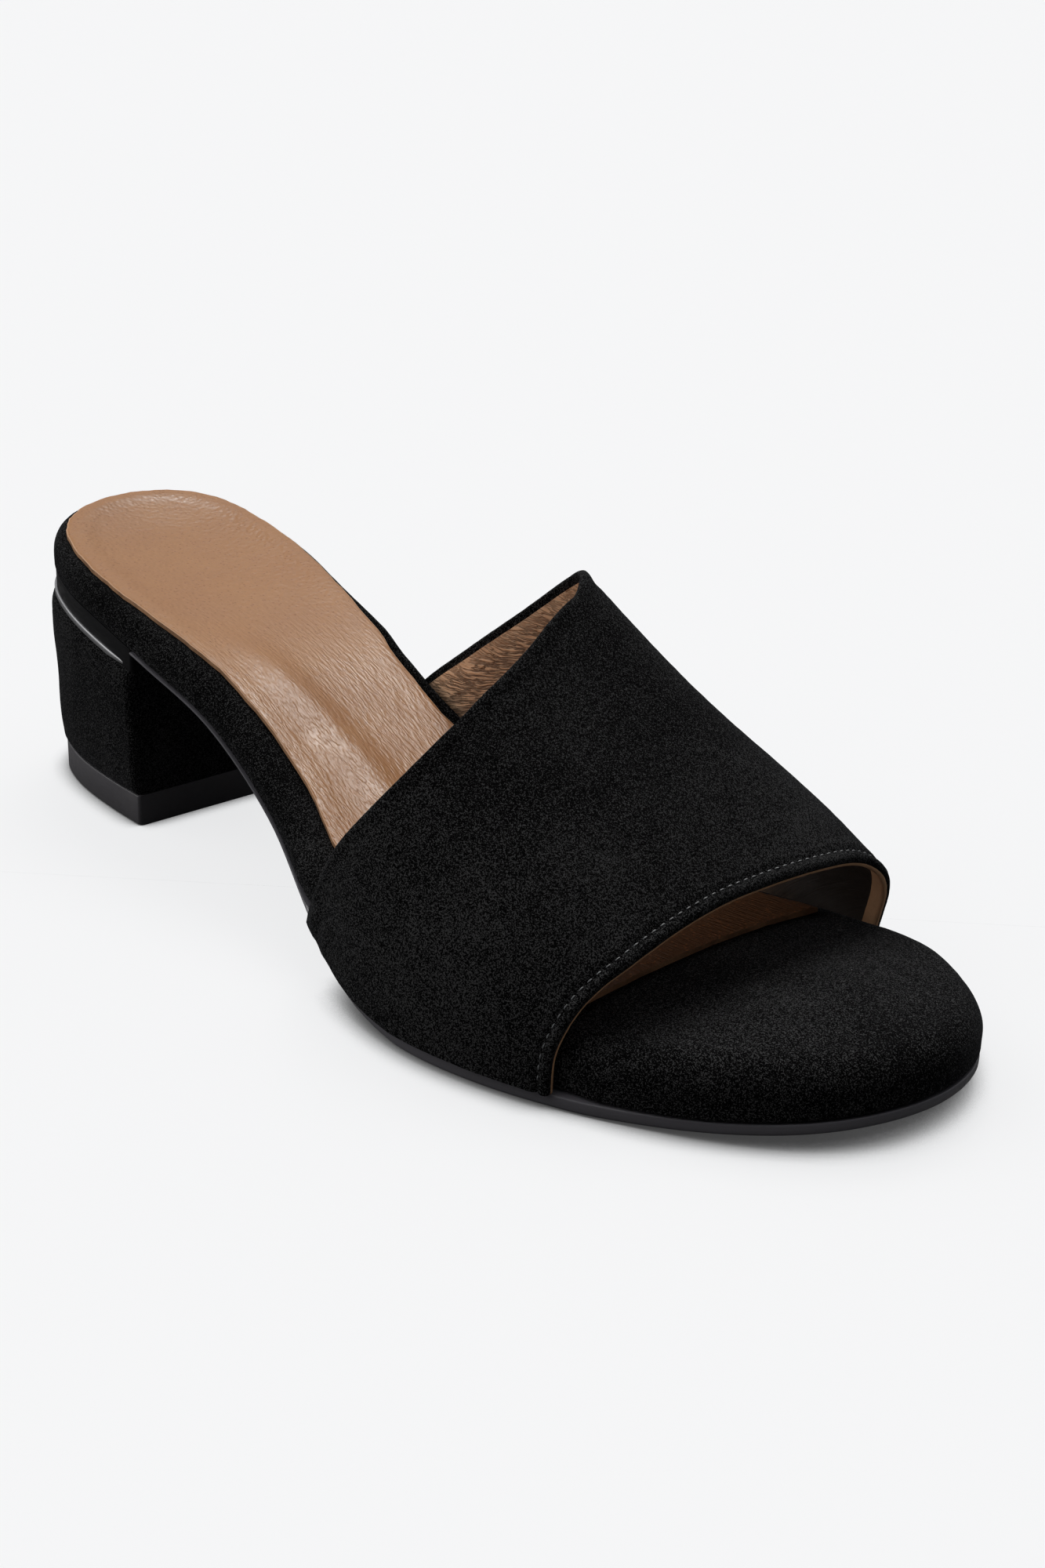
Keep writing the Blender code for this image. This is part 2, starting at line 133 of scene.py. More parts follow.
# The sole from the side: tread as shares of heel height and toe spring, thicknesses in millimetres
SIDE = table(
    "along heel spring sole bed crown swell",
    (0.000, 1.000, 0.00, 1.5, 9.0, -0.5, 0.0),
    (0.100, 0.903, 0.00, 1.5, 8.8, -0.5, 0.0),
    (0.180, 0.834, 0.00, 1.5, 8.6, -0.4, 0.0),
    (0.250, 0.769, 0.00, 0.7, 8.6, -0.3, 0.0),
    (0.350, 0.634, 0.00, 0.6, 8.6, 0.0, 0.0),
    (0.450, 0.411, 0.00, 0.7, 8.6, 0.0, 0.0),
    (0.550, 0.180, 0.00, 1.3, 8.8, 0.2, 0.0),
    (0.620, 0.047, 0.00, 2.2, 9.3, 0.6, 0.0),
    (0.680, 0.000, 0.00, 2.8, 10.2, 1.2, 0.0),
    (0.833, 0.000, 0.00, 2.6, 12.9, 2.4, 0.0),
    (0.896, 0.000, 0.19, 2.4, 13.8, 2.6, 0.8),
    (0.950, 0.000, 0.53, 2.3, 12.9, 2.4, 0.5),
    (1.000, 0.000, 1.00, 2.2, 11.6, 2.2, 0.2),
)

# The upper's form over the foot: ridge as a share of the instep height, sway in millimetres
UPPER_FORM = table(
    "along ridge sway outer_fullness inner_fullness",
    (0.375, 1.452, 6.5, 2.15, 2.05),
    (0.479, 1.235, 7.5, 2.18, 2.06),
    (0.583, 1.000, 9.5, 2.20, 2.30),
    (0.688, 0.742, 8.6, 2.22, 2.66),
    (0.792, 0.530, 4.5, 2.23, 3.04),
    (0.896, 0.300, 1.5, 2.25, 3.20),
)

# The upper's edges as shares of the sole's length, from the outer sole over the foot to the inner
UPPER_EDGES = table(
    "turn rear front",
    (0.00, 0.5450, 0.8150),
    (0.06, 0.5708, 0.8152),
    (0.10, 0.5875, 0.8182),
    (0.15, 0.6091, 0.8229),
    (0.20, 0.6256, 0.8288),
    (0.25, 0.6363, 0.8349),
    (0.28, 0.6403, 0.8373),
    (0.31, 0.6428, 0.8393),
    (0.34, 0.6427, 0.8406),
    (0.38, 0.6414, 0.8419),
    (0.42, 0.6365, 0.8427),
    (0.46, 0.6271, 0.8430),
    (0.50, 0.6166, 0.8433),
    (0.55, 0.6032, 0.8439),
    (0.60, 0.5910, 0.8437),
    (0.65, 0.5766, 0.8425),
    (0.70, 0.5596, 0.8413),
    (0.80, 0.5123, 0.8392),
    (0.90, 0.4461, 0.8309),
    (1.00, 0.3678, 0.8167),
)

# The block's sides: levels from its foot to the ledge, and how far each stands in from the sole's outline
HEEL_BLOCK = table(
    "level inset",
    (0.00, 1.2),
    (0.03, 0.5),
    (0.08, 0.2),
    (0.50, -0.3),
    (0.86, -0.8),
    (0.94, -0.6),
    (0.98, 0.0),
    (1.00, 0.8),
)

# The upper's front edge in section: share of the wall, reach towards the toe in millimetres, and material
SUEDE, LINING, RIM, PALE = range(4)
FRONT_SECTION = (
    (0.02, 0.20, SUEDE),
    (0.09, 0.46, SUEDE),
    (0.20, 0.68, SUEDE),
    (0.34, 0.80, SUEDE),
    (0.46, 0.78, SUEDE),
    (0.54, 0.66, SUEDE),
    (0.58, 0.80, PALE),
    (0.66, 0.90, PALE),
    (0.78, 0.92, PALE),
    (0.90, 0.88, PALE),
    (0.98, 0.60, PALE),
)

# Soft rises and hollows of the upper: distance from the edge, spread and height. The groove lies at the stitches,
# and the lumps of the lasting fade out with the turn away from the sole.
REAR_SWELLS = ((1.3, 1.1, 0.25), (3.4, 0.9, -0.12))
FRONT_SWELLS = ((1.2, 0.8, 0.32), (3.5, 0.8, 0.12))
STITCH_GROOVE = (0.5, -0.36)
LASTED_LUMPS = ((3.4, 1.5, 1.0), (8.0, 1.6, 0.55))
LUMPS_ROUND = (0.018, 0.020, 1.0)
EDGE_RUN = 4.2
EDGE_THINNING = 3.5
LINING_EDGE_WIDTH = 2.2
UPPER_STANDS_OUT = 1.0
UPPER_FOOT_RISE = 0.1

# The row of stitches starts and ends just above the sole, and each stitch bows out of the groove
STITCH_ROW = (0.012, 0.985)
STITCH_SINK = 0.22
STITCH_BOW = 0.10

GAP = 0.3
BED_SIDE_INSET = 0.3
BED_TUCK = 1.3
BED_TUCK_RUN = 7.0
BED_RIM_RISE = 0.62
BED_FOOT_ROUND = 0.7
BED_LIP_FOLD = ((20, 40, 60, 75, 90), (0, 0.4, 1.0, 0.7, 0))
BED_HOLLOW = 1.3
BED_HOLLOW_ALONG = ((0, 15, 110, 150), (0.5, 1, 1, 0))
BED_HOLLOW_EDGE = 0.93

# The sock's relief: heights in millimetres, ways along in millimetres from the heel, ways across as shares
SOCK_SHARE = 0.97
SOCK_FRONT = 189.6
SOCK_LIES_AT = 0.1
SOCK_EDGE_ROUND = 0.12
SOCK_ROLL = (0.84, 0.09, 0.35)
SOCK_SEAT = ((0, 20, 60, 110), (-0.4, -1.0, -0.9, -0.3))
SOCK_RIDGE_LINE = ((62, 125), (0.574, 0.21))
SOCK_RIDGE = (0.22, 1.5)

SOLE_EDGE_RISE = 0.9
LIFT_INSET = 0.9
LIFT_CORNER = 0.8
LIFT_SEAM = 0.15
BLOCK_CORNER = 1.6
LEDGE_HEIGHT = 44.95
LEDGE_DROP_PER_MM = 0.178
NECK_INSET = 0.55
NECK_SEAMS = (0.1, 0.2)
TRIM_THICKNESS = 1.35
TRIM_STANDS_OUT = 0.05
TRIM_DEPTH = 1.2
TRIM_POINT_RUN = 9.0
TRIM_END = 0.6
TRIM_SECTION = ((0.0, 0.0), (0.92, 0.0), (1.0, 0.1), (1.0, 0.82), (0.86, 0.97), (0.7, 1.0), (0.0, 1.0))
HEEL_SPINE_START = 21.0
TOE_SPINE_END = 28.0

HALF_STEPS = 120
HEEL_STEPS = 44
CORNER_STEPS = 8
UPPER_STEPS_ROUND = 180
MIDDLE_STEPS = 70
EDGE_STEPS = 14
FOLD_STEPS = 8
WELD = 0.004
CREASE_ANGLE = np.radians(50)

# Name, the way that it shines, spread in degrees and strength
SUNS = (
    ("back light", (0.34, -0.42, -0.84), 30.0, 0.85),
    ("side light", (0.55, 0.62, -0.56), 60.0, 0.80),
    ("gloss light", (0.145, -0.28, -0.95), 14.0, 8.0),
)
SUN_COLOUR = (1.0, 0.985, 0.96)
BRIGHT_SKY = (-0.66, 0.30, 0.69)

# Azimuth, elevation and roll in degrees, and what the camera turns about, in millimetres
CAMERA_ANGLES = (50.113, 22.355, 0.83)
CAMERA_CENTRE = (120.0, 0.0, 25.0)
CAMERA_DISTANCE = 402.79
LENS = 46.79
LENS_SHIFT = (0.0574, -0.0018)

SIDES = (("outer", -1), ("inner", 1))


def size(name):
    """A size of the sandal in millimetres."""
    return getattr(bpy.context.scene.sandal_sizes, name) / MM


def colour(name):
    return (*getattr(bpy.context.scene.sandal_colours, name), 1.0)


def smooth(stations, values, at):
    """A smooth curve through the values of a table."""
    at = np.asarray(at, float)
    slopes = np.gradient(values, stations)
    low = np.clip(np.searchsorted(stations, at) - 1, 0, len(stations) - 2)
    run = stations[low + 1] - stations[low]
    t = (at - stations[low]) / run
    start = (1 + 2 * t) * (1 - t) ** 2 * values[low] + t * (1 - t) ** 2 * run * slopes[low]
    end = t**2 * (3 - 2 * t) * values[low + 1] + t**2 * (t - 1) * run * slopes[low + 1]
    return start + end


def smooth_step(share):
    share = np.clip(share, 0, 1)
    return share * share * (3 - 2 * share)


def swelling(distance, middle, spread, height):
    return height * np.exp(-(((distance - middle) / spread) ** 2))


def swellings(distance, swells):
    return sum(swelling(distance, *swell) for swell in swells)


def lengths_along(points):
    """The way to each point of a line from its start."""
    return np.concatenate([[0], np.cumsum(np.linalg.norm(np.diff(points, axis=0), axis=1))])


def turn_of(share):
    return np.arccos(np.clip(1 - 2 * np.asarray(share, float), -1, 1))


def plan_value(name, turn):
    return smooth(turn_of(PLAN["along"]), PLAN[name], turn)


def half_width(name, x):
    return size("ball_width") * plan_value(name, turn_of(x / size("length")))


def side_value(name, x):
    return smooth(SIDE["along"], SIDE[name], np.asarray(x) / size("length"))


def form_value(name, x):
    return smooth(UPPER_FORM["along"], UPPER_FORM[name], x / size("length"))


def upper_edges(turn):
    """Where the upper's rear and front edges are along the shoe."""
    return [size("length") * smooth(UPPER_EDGES["turn"], UPPER_EDGES[edge], turn) for edge in ("rear", "front")]


def tread(x):
    """Height of the sole's underside."""
    height = size("heel_height") * side_value("heel", x) + size("toe_spring") * side_value("spring", x)
    return np.maximum(height, 0.0)


def sole_top(x):
    return tread(x) + side_value("sole", x)


def bed_top(x, share):
    """Height of the footbed. The share is 1 at the rim and 0 on the middle line."""
    return tread(x) + side_value("bed", x) + side_value("crown", x) * (1 - share**2)


def ledge(x):
    """Height of the sloping ledge that the trim lies on."""
    return LEDGE_HEIGHT - LEDGE_DROP_PER_MM * x


def side_points(name, sign, turns):
    """Points of one side of the sole's outline in plan."""
    x = size("length") * (1 - np.cos(turns)) / 2
    return np.stack([x, sign * size("ball_width") * plan_value(name, turns)], -1)


class Outline:
    """A loop in plan: the back of the heel first, then the outer side, the toe and the inner side."""

    def __init__(self, turns):
        self.is_whole = bool(np.isclose(turns[-1], np.pi))
        self.last = -1 if self.is_whole else len(turns)
        self.points = self.join([side_points(*side, turns) for side in SIDES])
        self.is_outer = np.arange(len(self.points)) < len(turns)
        self.turns = self.join([turns, turns])
        self.inward = self.normals(turns)

    def join(self, sides):
        return np.concatenate([sides[0], sides[1][1 : self.last][::-1]])

    def normals(self, turns):
        """The way in at each point, at right angles to the loop."""
        sides = []
        for name, sign in SIDES:
            ends = [side_points(name, sign, turn) for turn in (np.maximum(turns - 0.01, 0), turns + 0.01)]
            along = ends[1] - ends[0]
            along /= np.linalg.norm(along, axis=1)[:, None]
            sides.append(np.stack([along[:, 1], -along[:, 0]], -1) * sign)
        sides[0][0] = (1, 0)
        if self.is_whole:
            sides[0][-1] = (-1, 0)
        return self.join(sides)

    def inset(self, distance):
        return self.points + self.inward * np.broadcast_to(distance, len(self.points))[:, None]

    def rim(self):
        return np.where(self.is_outer, plan_value("outer_rim", self.turns), plan_value("inner_rim", self.turns))


def whole_outline():
    return Outline(np.linspace(0, np.pi, HALF_STEPS + 1))


def ring(flat, height):
    return np.column_stack([flat, np.broadcast_to(height, len(flat))])


def toward_middle(flat, share, start=HEEL_SPINE_START, end=TOE_SPINE_END):
    """A loop drawn in towards the shoe's middle line."""
    middle = (flat + flat[-np.arange(len(flat))]) / 2
    low, high = flat[:, 0].min(), flat[:, 0].max()
    middle[:, 0] = np.interp(middle[:, 0], (low, high), (low + start, high - end))
    return middle + (flat - middle) * share


def cap(flat, shares, height):
    """Rows that close a loop. The height is a function of the way along."""
    drawn = [toward_middle(flat, share) for share in shares]
    return [ring(row, height(row[:, 0])) for row in drawn]


def bed_side_inset(loop):
    """The footbed's side draws in where the upper is lasted over it."""
    x = loop.points[:, 0]
    tucked = np.zeros(len(x))
    for end, on_side in ((0, loop.is_outer), (-1, ~loop.is_outer)):
        rear, front = (UPPER_EDGES[edge][end] * size("length") for edge in ("rear", "front"))
        knots = (rear - BED_TUCK_RUN, rear - 1, front + 1, front + BED_TUCK_RUN)
        tucked = np.where(on_side, np.interp(x, knots, (0, 1, 1, 0)), tucked)
    return BED_SIDE_INSET + (BED_TUCK - BED_SIDE_INSET) * tucked - side_value("swell", x)


def heel_loop(inset, corner):
    """The heel's D shape in plan: the sole's outline behind a straight breast, with round corners."""
    straight = size("breast") - corner
    points = Outline(np.linspace(0, turn_of(straight / size("length")), HEEL_STEPS + 1)).inset(inset)
    outer_side, inner_side = np.split(points, [HEEL_STEPS + 1])
    outer_side[-1, 0] = inner_side[0, 0] = straight
    angles = np.radians(np.linspace(90, 0, CORNER_STEPS + 1))[1:] * -1
    bend = np.stack([corner * np.cos(angles), corner * np.sin(angles)], -1)
    outer_bend = np.array([straight, outer_side[-1, 1] + corner]) + bend
    inner_bend = np.array([straight, inner_side[0, 1] - corner]) + (bend * (1, -1))[::-1]
    return np.concatenate([outer_side, outer_bend, inner_bend, inner_side])


def heel_rows(insets, levels, corner, low, high):
    """Rows of a piece in the heel's D shape, closed below and above. Its levels go from 0 at its low height to
    1 at its high height, and both heights are functions of the way along."""
    loops = [heel_loop(inset, corner) for inset in insets]
    under = [(toward_middle(loops[0], share, end=0.0), 0.0) for share in (0.0, 0.9)]
    over = [(toward_middle(loops[-1], share, end=0.0), 1.0) for share in (0.9, 0.0)]
    rows = []
    for flat, level in (*under, *zip(loops, levels), *over):
        x = flat[:, 0]
        rows.append(ring(flat, low(x) + level * (high(x) - low(x))))
    return rows


def upper_point(x, turn):
    """A point of the upper's outside. The turn goes from 0 at the outer sole to 1 at the inner."""
    angle = np.pi * turn
    is_outer = turn < 0.5
    sway = form_value("sway", x)
    outer_reach = half_width("outer", x) + UPPER_STANDS_OUT + sway
    inner_reach = half_width("inner", x) + UPPER_STANDS_OUT - sway
    reach = np.where(is_outer, outer_reach, inner_reach)
    fullness = np.where(is_outer, form_value("outer_fullness", x), form_value("inner_fullness", x))
    foot = sole_top(x) + UPPER_FOOT_RISE
    ridge = size("instep_height") * form_value("ridge", x)
    y = sway - np.sign(np.cos(angle)) * reach * np.abs(np.cos(angle)) ** (2 / fullness)
    z = foot + (ridge - foot) * np.abs(np.sin(angle)) ** (2 / fullness)
    return np.stack([np.broadcast_to(x, z.shape), y, z], -1)


def surface_frame(x, turn, step=0.4, turn_step=0.002):
    """The upper's outside with its unit normal and its unit direction towards the toe."""
    ahead = upper_point(x + step, turn) - upper_point(x - step, turn)
    low, high = np.clip(turn - turn_step, 0, 1), np.clip(turn + turn_step, 0, 1)
    normal = np.cross(ahead, upper_point(x, high) - upper_point(x, low))
    normal /= np.linalg.norm(normal, axis=-1)[..., None]
    outward = np.sign(normal[..., 2:3] + 1e-9 + 2 * normal[..., 1:2] * np.sign(turn - 0.5)[..., None])
    ahead /= np.linalg.norm(ahead, axis=-1)[..., None]
    return upper_point(x, turn), normal * outward, ahead


def sock_relief(x, share, near_side):
    """Padding under the sock: a rolled edge round the heel, a shallow seat, and a soft ridge along the waist."""
    roll = swelling(share, *SOCK_ROLL) * (1 - 0.75 * smooth_step((x - 25) / 50))
    seat = np.interp(x, *SOCK_SEAT) * (1 - share**2) ** 1.2
    along = smooth_step((x - 62) / 34) * smooth_step((170 - x) / 35)
    ridge = swelling(share * near_side, np.interp(x, *SOCK_RIDGE_LINE), *SOCK_RIDGE) * along
    return roll + seat + ridge


def deselect_all():
    if bpy.context.object and bpy.context.object.mode != "OBJECT":
        bpy.ops.object.mode_set(mode="OBJECT")
    bpy.ops.object.select_all(action="DESELECT")


def pick(piece):
    deselect_all()
    piece.select_set(True)
    bpy.context.view_layer.objects.active = piece


def edit_all(piece, *steps):
    """Runs mesh operators, each with its settings, on the whole of a piece."""
    pick(piece)
    bpy.ops.object.mode_set(mode="EDIT")
    bpy.ops.mesh.select_all(action="SELECT")
    for operator, settings in steps:
        operator(**settings)
    bpy.ops.object.mode_set(mode="OBJECT")


def drape(name, rows, materials, bands=None, sheet=None, close=True):
    """A grid laid through rows of points, with its seam and poles closed. Bands are the material of each row of
    faces, and sheet gives each point's place on the flat leather, in metres, as the UV map."""
    points = np.asarray(rows, float)
    if close:
        points = np.concatenate([points, points[:, :1]], axis=1)
    down, across = points.shape[0] - 1, points.shape[1] - 1
    deselect_all()
    bpy.ops.mesh.primitive_grid_add(x_subdivisions=across, y_subdivisions=down, size=1, calc_uvs=True)
    piece = bpy.context.object
    mesh = piece.data
    piece.name = mesh.name = name
    flat = np.empty(len(mesh.vertices) * 3)
    mesh.vertices.foreach_get("co", flat)
    i, j = np.rint((flat.reshape(-1, 3)[:, :2] + 0.5) * (across, down)).astype(int).T
    mesh.vertices.foreach_set("co", ((points[j, i] - ORIGIN) * MM).ravel())
    for material in materials:
        mesh.materials.append(material)
    corners = np.empty(len(mesh.loops), np.int32)
    mesh.loops.foreach_get("vertex_index", corners)
    if bands is not None:
        low_rows = j[corners].reshape(-1, 4).min(1)
        mesh.polygons.foreach_set("material_index", np.asarray(bands, np.int32)[low_rows])
    if sheet is not None:
        mesh.uv_layers.active.data.foreach_set("uv", np.asarray(sheet)[j, i][corners].ravel())
    weld = (bpy.ops.mesh.remove_doubles, {"threshold": WELD * MM})
    edit_all(piece, weld, (bpy.ops.mesh.normals_make_consistent, {"inside": False}))
    bpy.ops.object.shade_smooth_by_angle(angle=CREASE_ANGLE)
    return piece


def trim_off(piece, x, keep_front):
    """Cuts a piece straight across and closes the cut."""
    plane = {"plane_co": ((x - ORIGIN[0]) * MM, 0, 0), "plane_no": (1, 0, 0), "use_fill": True}
    edit_all(piece, (bpy.ops.mesh.bisect, {**plane, "clear_inner": keep_front, "clear_outer": not keep_front}))
    bpy.ops.object.shade_smooth_by_angle(angle=CREASE_ANGLE)


def ruffle(piece, grain, depth):
    """Moves the surface in and out a little, as napped leather lies."""
    pick(piece)
    texture = bpy.data.textures.new(piece.name + "_ruffle", "CLOUDS")
    texture.noise_scale = grain * MM
    texture.noise_depth = 2
    displace = piece.modifiers.new("ruffle", "DISPLACE")
    displace.texture = texture
    displace.texture_coords = "LOCAL"
    displace.strength = depth * MM
    displace.mid_level = 0.5
    bpy.ops.object.modifier_apply(modifier=displace.name)


def dress(piece, slot, *nodes):
    """Parents a finished piece to the root body and hides the CAD nodes that it replaces."""
    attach(piece, "root")
    if nodes:
        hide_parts(*nodes)


def add_node(tree, kind, inputs=None, **settings):
    node = tree.nodes.new(kind)
    for name, value in settings.items():
        setattr(node, name, value)
    for key, value in (inputs or {}).items():
        socket = node.inputs[key]
        if isinstance(value, bpy.types.NodeSocket):
            tree.links.new(value, socket)
        else:
            socket.default_value = value
    return node


def calculate(tree, operation, first, second=0.0):
    return add_node(tree, "ShaderNodeMath", {0: first, 1: second}, operation=operation).outputs[0]


def times(tree, first, second):
    return calculate(tree, "MULTIPLY", first, second)


def plus(tree, first, second):
    return calculate(tree, "ADD", first, second)


def minus(tree, first, second):
    return calculate(tree, "SUBTRACT", first, second)


def scaled(tree, vector, scale):
    return add_node(tree, "ShaderNodeVectorMath", {0: vector, 1: scale}, operation="MULTIPLY").outputs[0]


def noise(tree, vector, *settings):
    """A noise texture's value. The settings are its scale, detail, roughness and distortion."""
    inputs = dict(zip(("Vector", "Scale", "Detail", "Roughness", "Distortion"), (vector, *settings)))
    return add_node(tree, "ShaderNodeTexNoise", inputs).outputs["Fac"]


def cells(tree, vector, scale, **settings):
    return add_node(tree, "ShaderNodeTexVoronoi", {"Vector": vector, "Scale": scale}, **settings).outputs


def part_of(tree, vector, axis):
    return add_node(tree, "ShaderNodeSeparateXYZ", {0: vector}).outputs[axis]


def blend(tree, share, first, second):
    return add_node(tree, "ShaderNodeMix", {0: share, 6: first, 7: second}, data_type="RGBA").outputs[2]


def between(tree, value, low, high, to_low=0.0, to_high=1.0):
    """Carries a range of values to another, with soft ends."""
    inputs = {"Value": value, "From Min": low, "From Max": high, "To Min": to_low, "To Max": to_high}
    return add_node(tree, "ShaderNodeMapRange", inputs, interpolation_type="SMOOTHSTEP").outputs["Result"]


def object_place(tree):
    return add_node(tree, "ShaderNodeTexCoord").outputs["Object"]


def once(kept):
    """Makes a material or node group only where its name isn't there yet."""

    def decorate(build):
        return lambda name, *settings: getattr(bpy.data, kept).get(name) or build(name, *settings)

    return decorate


def new_group(name, inputs, outputs):
    """A node group that takes a place and some values, and gives out values."""
    tree = bpy.data.node_groups.new(name, "ShaderNodeTree")
    tree.interface.new_socket(name="Vector", in_out="INPUT", socket_type="NodeSocketVector")
    for socket, value in inputs.items():
        tree.interface.new_socket(name=socket, in_out="INPUT", socket_type="NodeSocketFloat").default_value = value
    for socket in outputs:
        tree.interface.new_socket(name=socket, in_out="OUTPUT", socket_type="NodeSocketFloat")
    given, made = tree.nodes.new("NodeGroupInput").outputs, tree.nodes.new("NodeGroupOutput").inputs
    return tree, given["Vector"], given, made


def use(tree, group, vector, **values):
    return add_node(tree, "ShaderNodeGroup", {"Vector": vector, **values}, node_tree=group).outputs


@once("node_groups")
def nap_group(name):
    """Short pile of suede: how raised it is in each place, and its height."""
    tree, vector, given, made = new_group(name, {"Patches": 30.0, "Level": 0.33}, ("Raised", "Height"))
    patches = minus(tree, noise(tree, vector, given["Patches"], 3.0, 0.55, 0.3), 0.5)
    cloudy = minus(tree, noise(tree, vector, 240.0, 3.0, 0.6, 0.6), 0.5)
    pile = minus(tree, noise(tree, vector, 2600.0, 1.0, 0.6), 0.5)
    tips = minus(tree, noise(tree, scaled(tree, vector, (1.0, 1.4, 1.2)), 4600.0, 0.0, 0.5), 0.5)
    raised = given["Level"]
    for part, share in ((patches, 1.2), (cloudy, 0.45), (pile, 3.2), (tips, 3.8)):
        raised = plus(tree, raised, times(tree, part, share))
    raised = calculate(tree, "MINIMUM", calculate(tree, "MAXIMUM", raised, 0.0), 1.4)
    tree.links.new(calculate(tree, "POWER", raised, 2.2), made["Raised"])
    tree.links.new(plus(tree, times(tree, pile, 0.7), times(tree, tips, 0.5)), made["Height"])
    return tree


@once("node_groups")
def lint_group(name):
    """Rare pale specks of lint and dust."""
    tree, vector, _, made = new_group(name, {}, ("Mask",))
    specks = cells(tree, vector, 190.0)
    chance = add_node(tree, "ShaderNodeSeparateColor", {0: specks["Color"]}).outputs[0]
    chosen = calculate(tree, "GREATER_THAN", chance, 0.80)
    tree.links.new(times(tree, between(tree, specks["Distance"], 0.028, 0.012), chosen), made["Mask"])
    return tree


@once("node_groups")
def grain_group(name):
    """Fine leather grain: its shade and its height."""
    tree, vector, _, made = new_group(name, {}, ("Shade", "Height"))
    pores = between(tree, cells(tree, vector, 1500.0)["Distance"], 0.75, 0.1)
    fine = noise(tree, vector, 900.0, 3.0, 0.6, 0.4)
    tree.links.new(between(tree, noise(tree, vector, 70.0, 4.0, 0.6), 0.3, 0.7), made["Shade"])
    tree.links.new(plus(tree, times(tree, pores, 0.55), times(tree, fine, 0.6)), made["Height"])
    return tree


def new_material(name, roughness, **constants):
    """A material with one Principled shader. Constants are set on the shader's own sockets."""
    material = bpy.data.materials.new(name)
    material.use_nodes = True
    shader = material.node_tree.nodes["Principled BSDF"]
    shader.inputs["Roughness"].default_value = roughness
    for key, value in constants.items():
        shader.inputs[key.replace("_", " ").title().replace("Ior", "IOR")].default_value = value
    return material, material.node_tree


def finish(material, base, height, strength, distance, roughness=None):
    """Joins the colour and the relief to the material's shader, and the roughness where it varies."""
    tree = material.node_tree
    relief = {"Height": height, "Strength": strength, "Distance": distance * MM}
    bump = add_node(tree, "ShaderNodeBump", relief).outputs["Normal"]
    for value, socket in ((base, "Base Color"), (bump, "Normal"), (roughness, "Roughness")):
        if value is not None:
            tree.links.new(value, tree.nodes["Principled BSDF"].inputs[socket])
    return material


@once("materials")
def suede_material(name, patches, level=0.33):
    """Black suede with its nap raised in patches."""
    sheen = {"sheen_weight": 0.05, "sheen_roughness": 0.35, "sheen_tint": (0.9, 0.92, 1.0, 1.0)}
    material, tree = new_material(name, 0.95, specular_ior_level=0.01, **sheen)
    place = object_place(tree)
    nap = use(tree, nap_group("suede nap"), place, Patches=patches, Level=level)
    lint = use(tree, lint_group("lint"), place)["Mask"]
    pile = blend(tree, nap["Raised"], colour("suede"), colour("suede_brushed"))
    return finish(material, blend(tree, lint, pile, (0.30, 0.30, 0.29, 1.0)), nap["Height"], 0.7, 0.22)


@once("materials")
def sock_material(name):
    """Smooth tan leather: a pebbled grain at the heel that is drawn out along the waist."""
    material, tree = new_material(name, 0.36, specular_ior_level=0.10)
    place = object_place(tree)
    along = part_of(tree, place, "X")
    waist = between(tree, along, -0.075, -0.02)
    shade = use(tree, grain_group("leather grain"), place)["Shade"]
    mottle = plus(tree, times(tree, shade, 0.45), times(tree, noise(tree, place, 38.0, 3.0, 0.5), 0.4))
    base = blend(tree, times(tree, mottle, 0.45), colour("sock"), colour("sock_deep"))
    # Painted shade: the sock darkens towards its front end, where it lies in shadow under the upper.
    base = blend(tree, times(tree, between(tree, along, 0.03, 0.062), 0.9), base, (0.08, 0.034, 0.018, 1.0))
    pores = between(tree, cells(tree, place, 900.0)["Distance"], 0.30, 0.10)
    base = blend(tree, times(tree, pores, 0.75), base, colour("sock_deep"))
    folds = between(tree, noise(tree, scaled(tree, place, (0.16, 1.0, 0.5)), 1300.0, 2.0, 0.60), 0.35, 0.68)
    pebbles = minus(tree, 1.0, cells(tree, place, 1050.0, feature="SMOOTH_F1")["Distance"])
    pebbles = times(tree, times(tree, pebbles, 0.9), minus(tree, 1.2, waist))
    relief = plus(tree, times(tree, times(tree, folds, waist), 0.7), pebbles)
    return finish(material, base, relief, 0.6, 0.20, between(tree, shade, 0.0, 1.0, 0.36, 0.41))


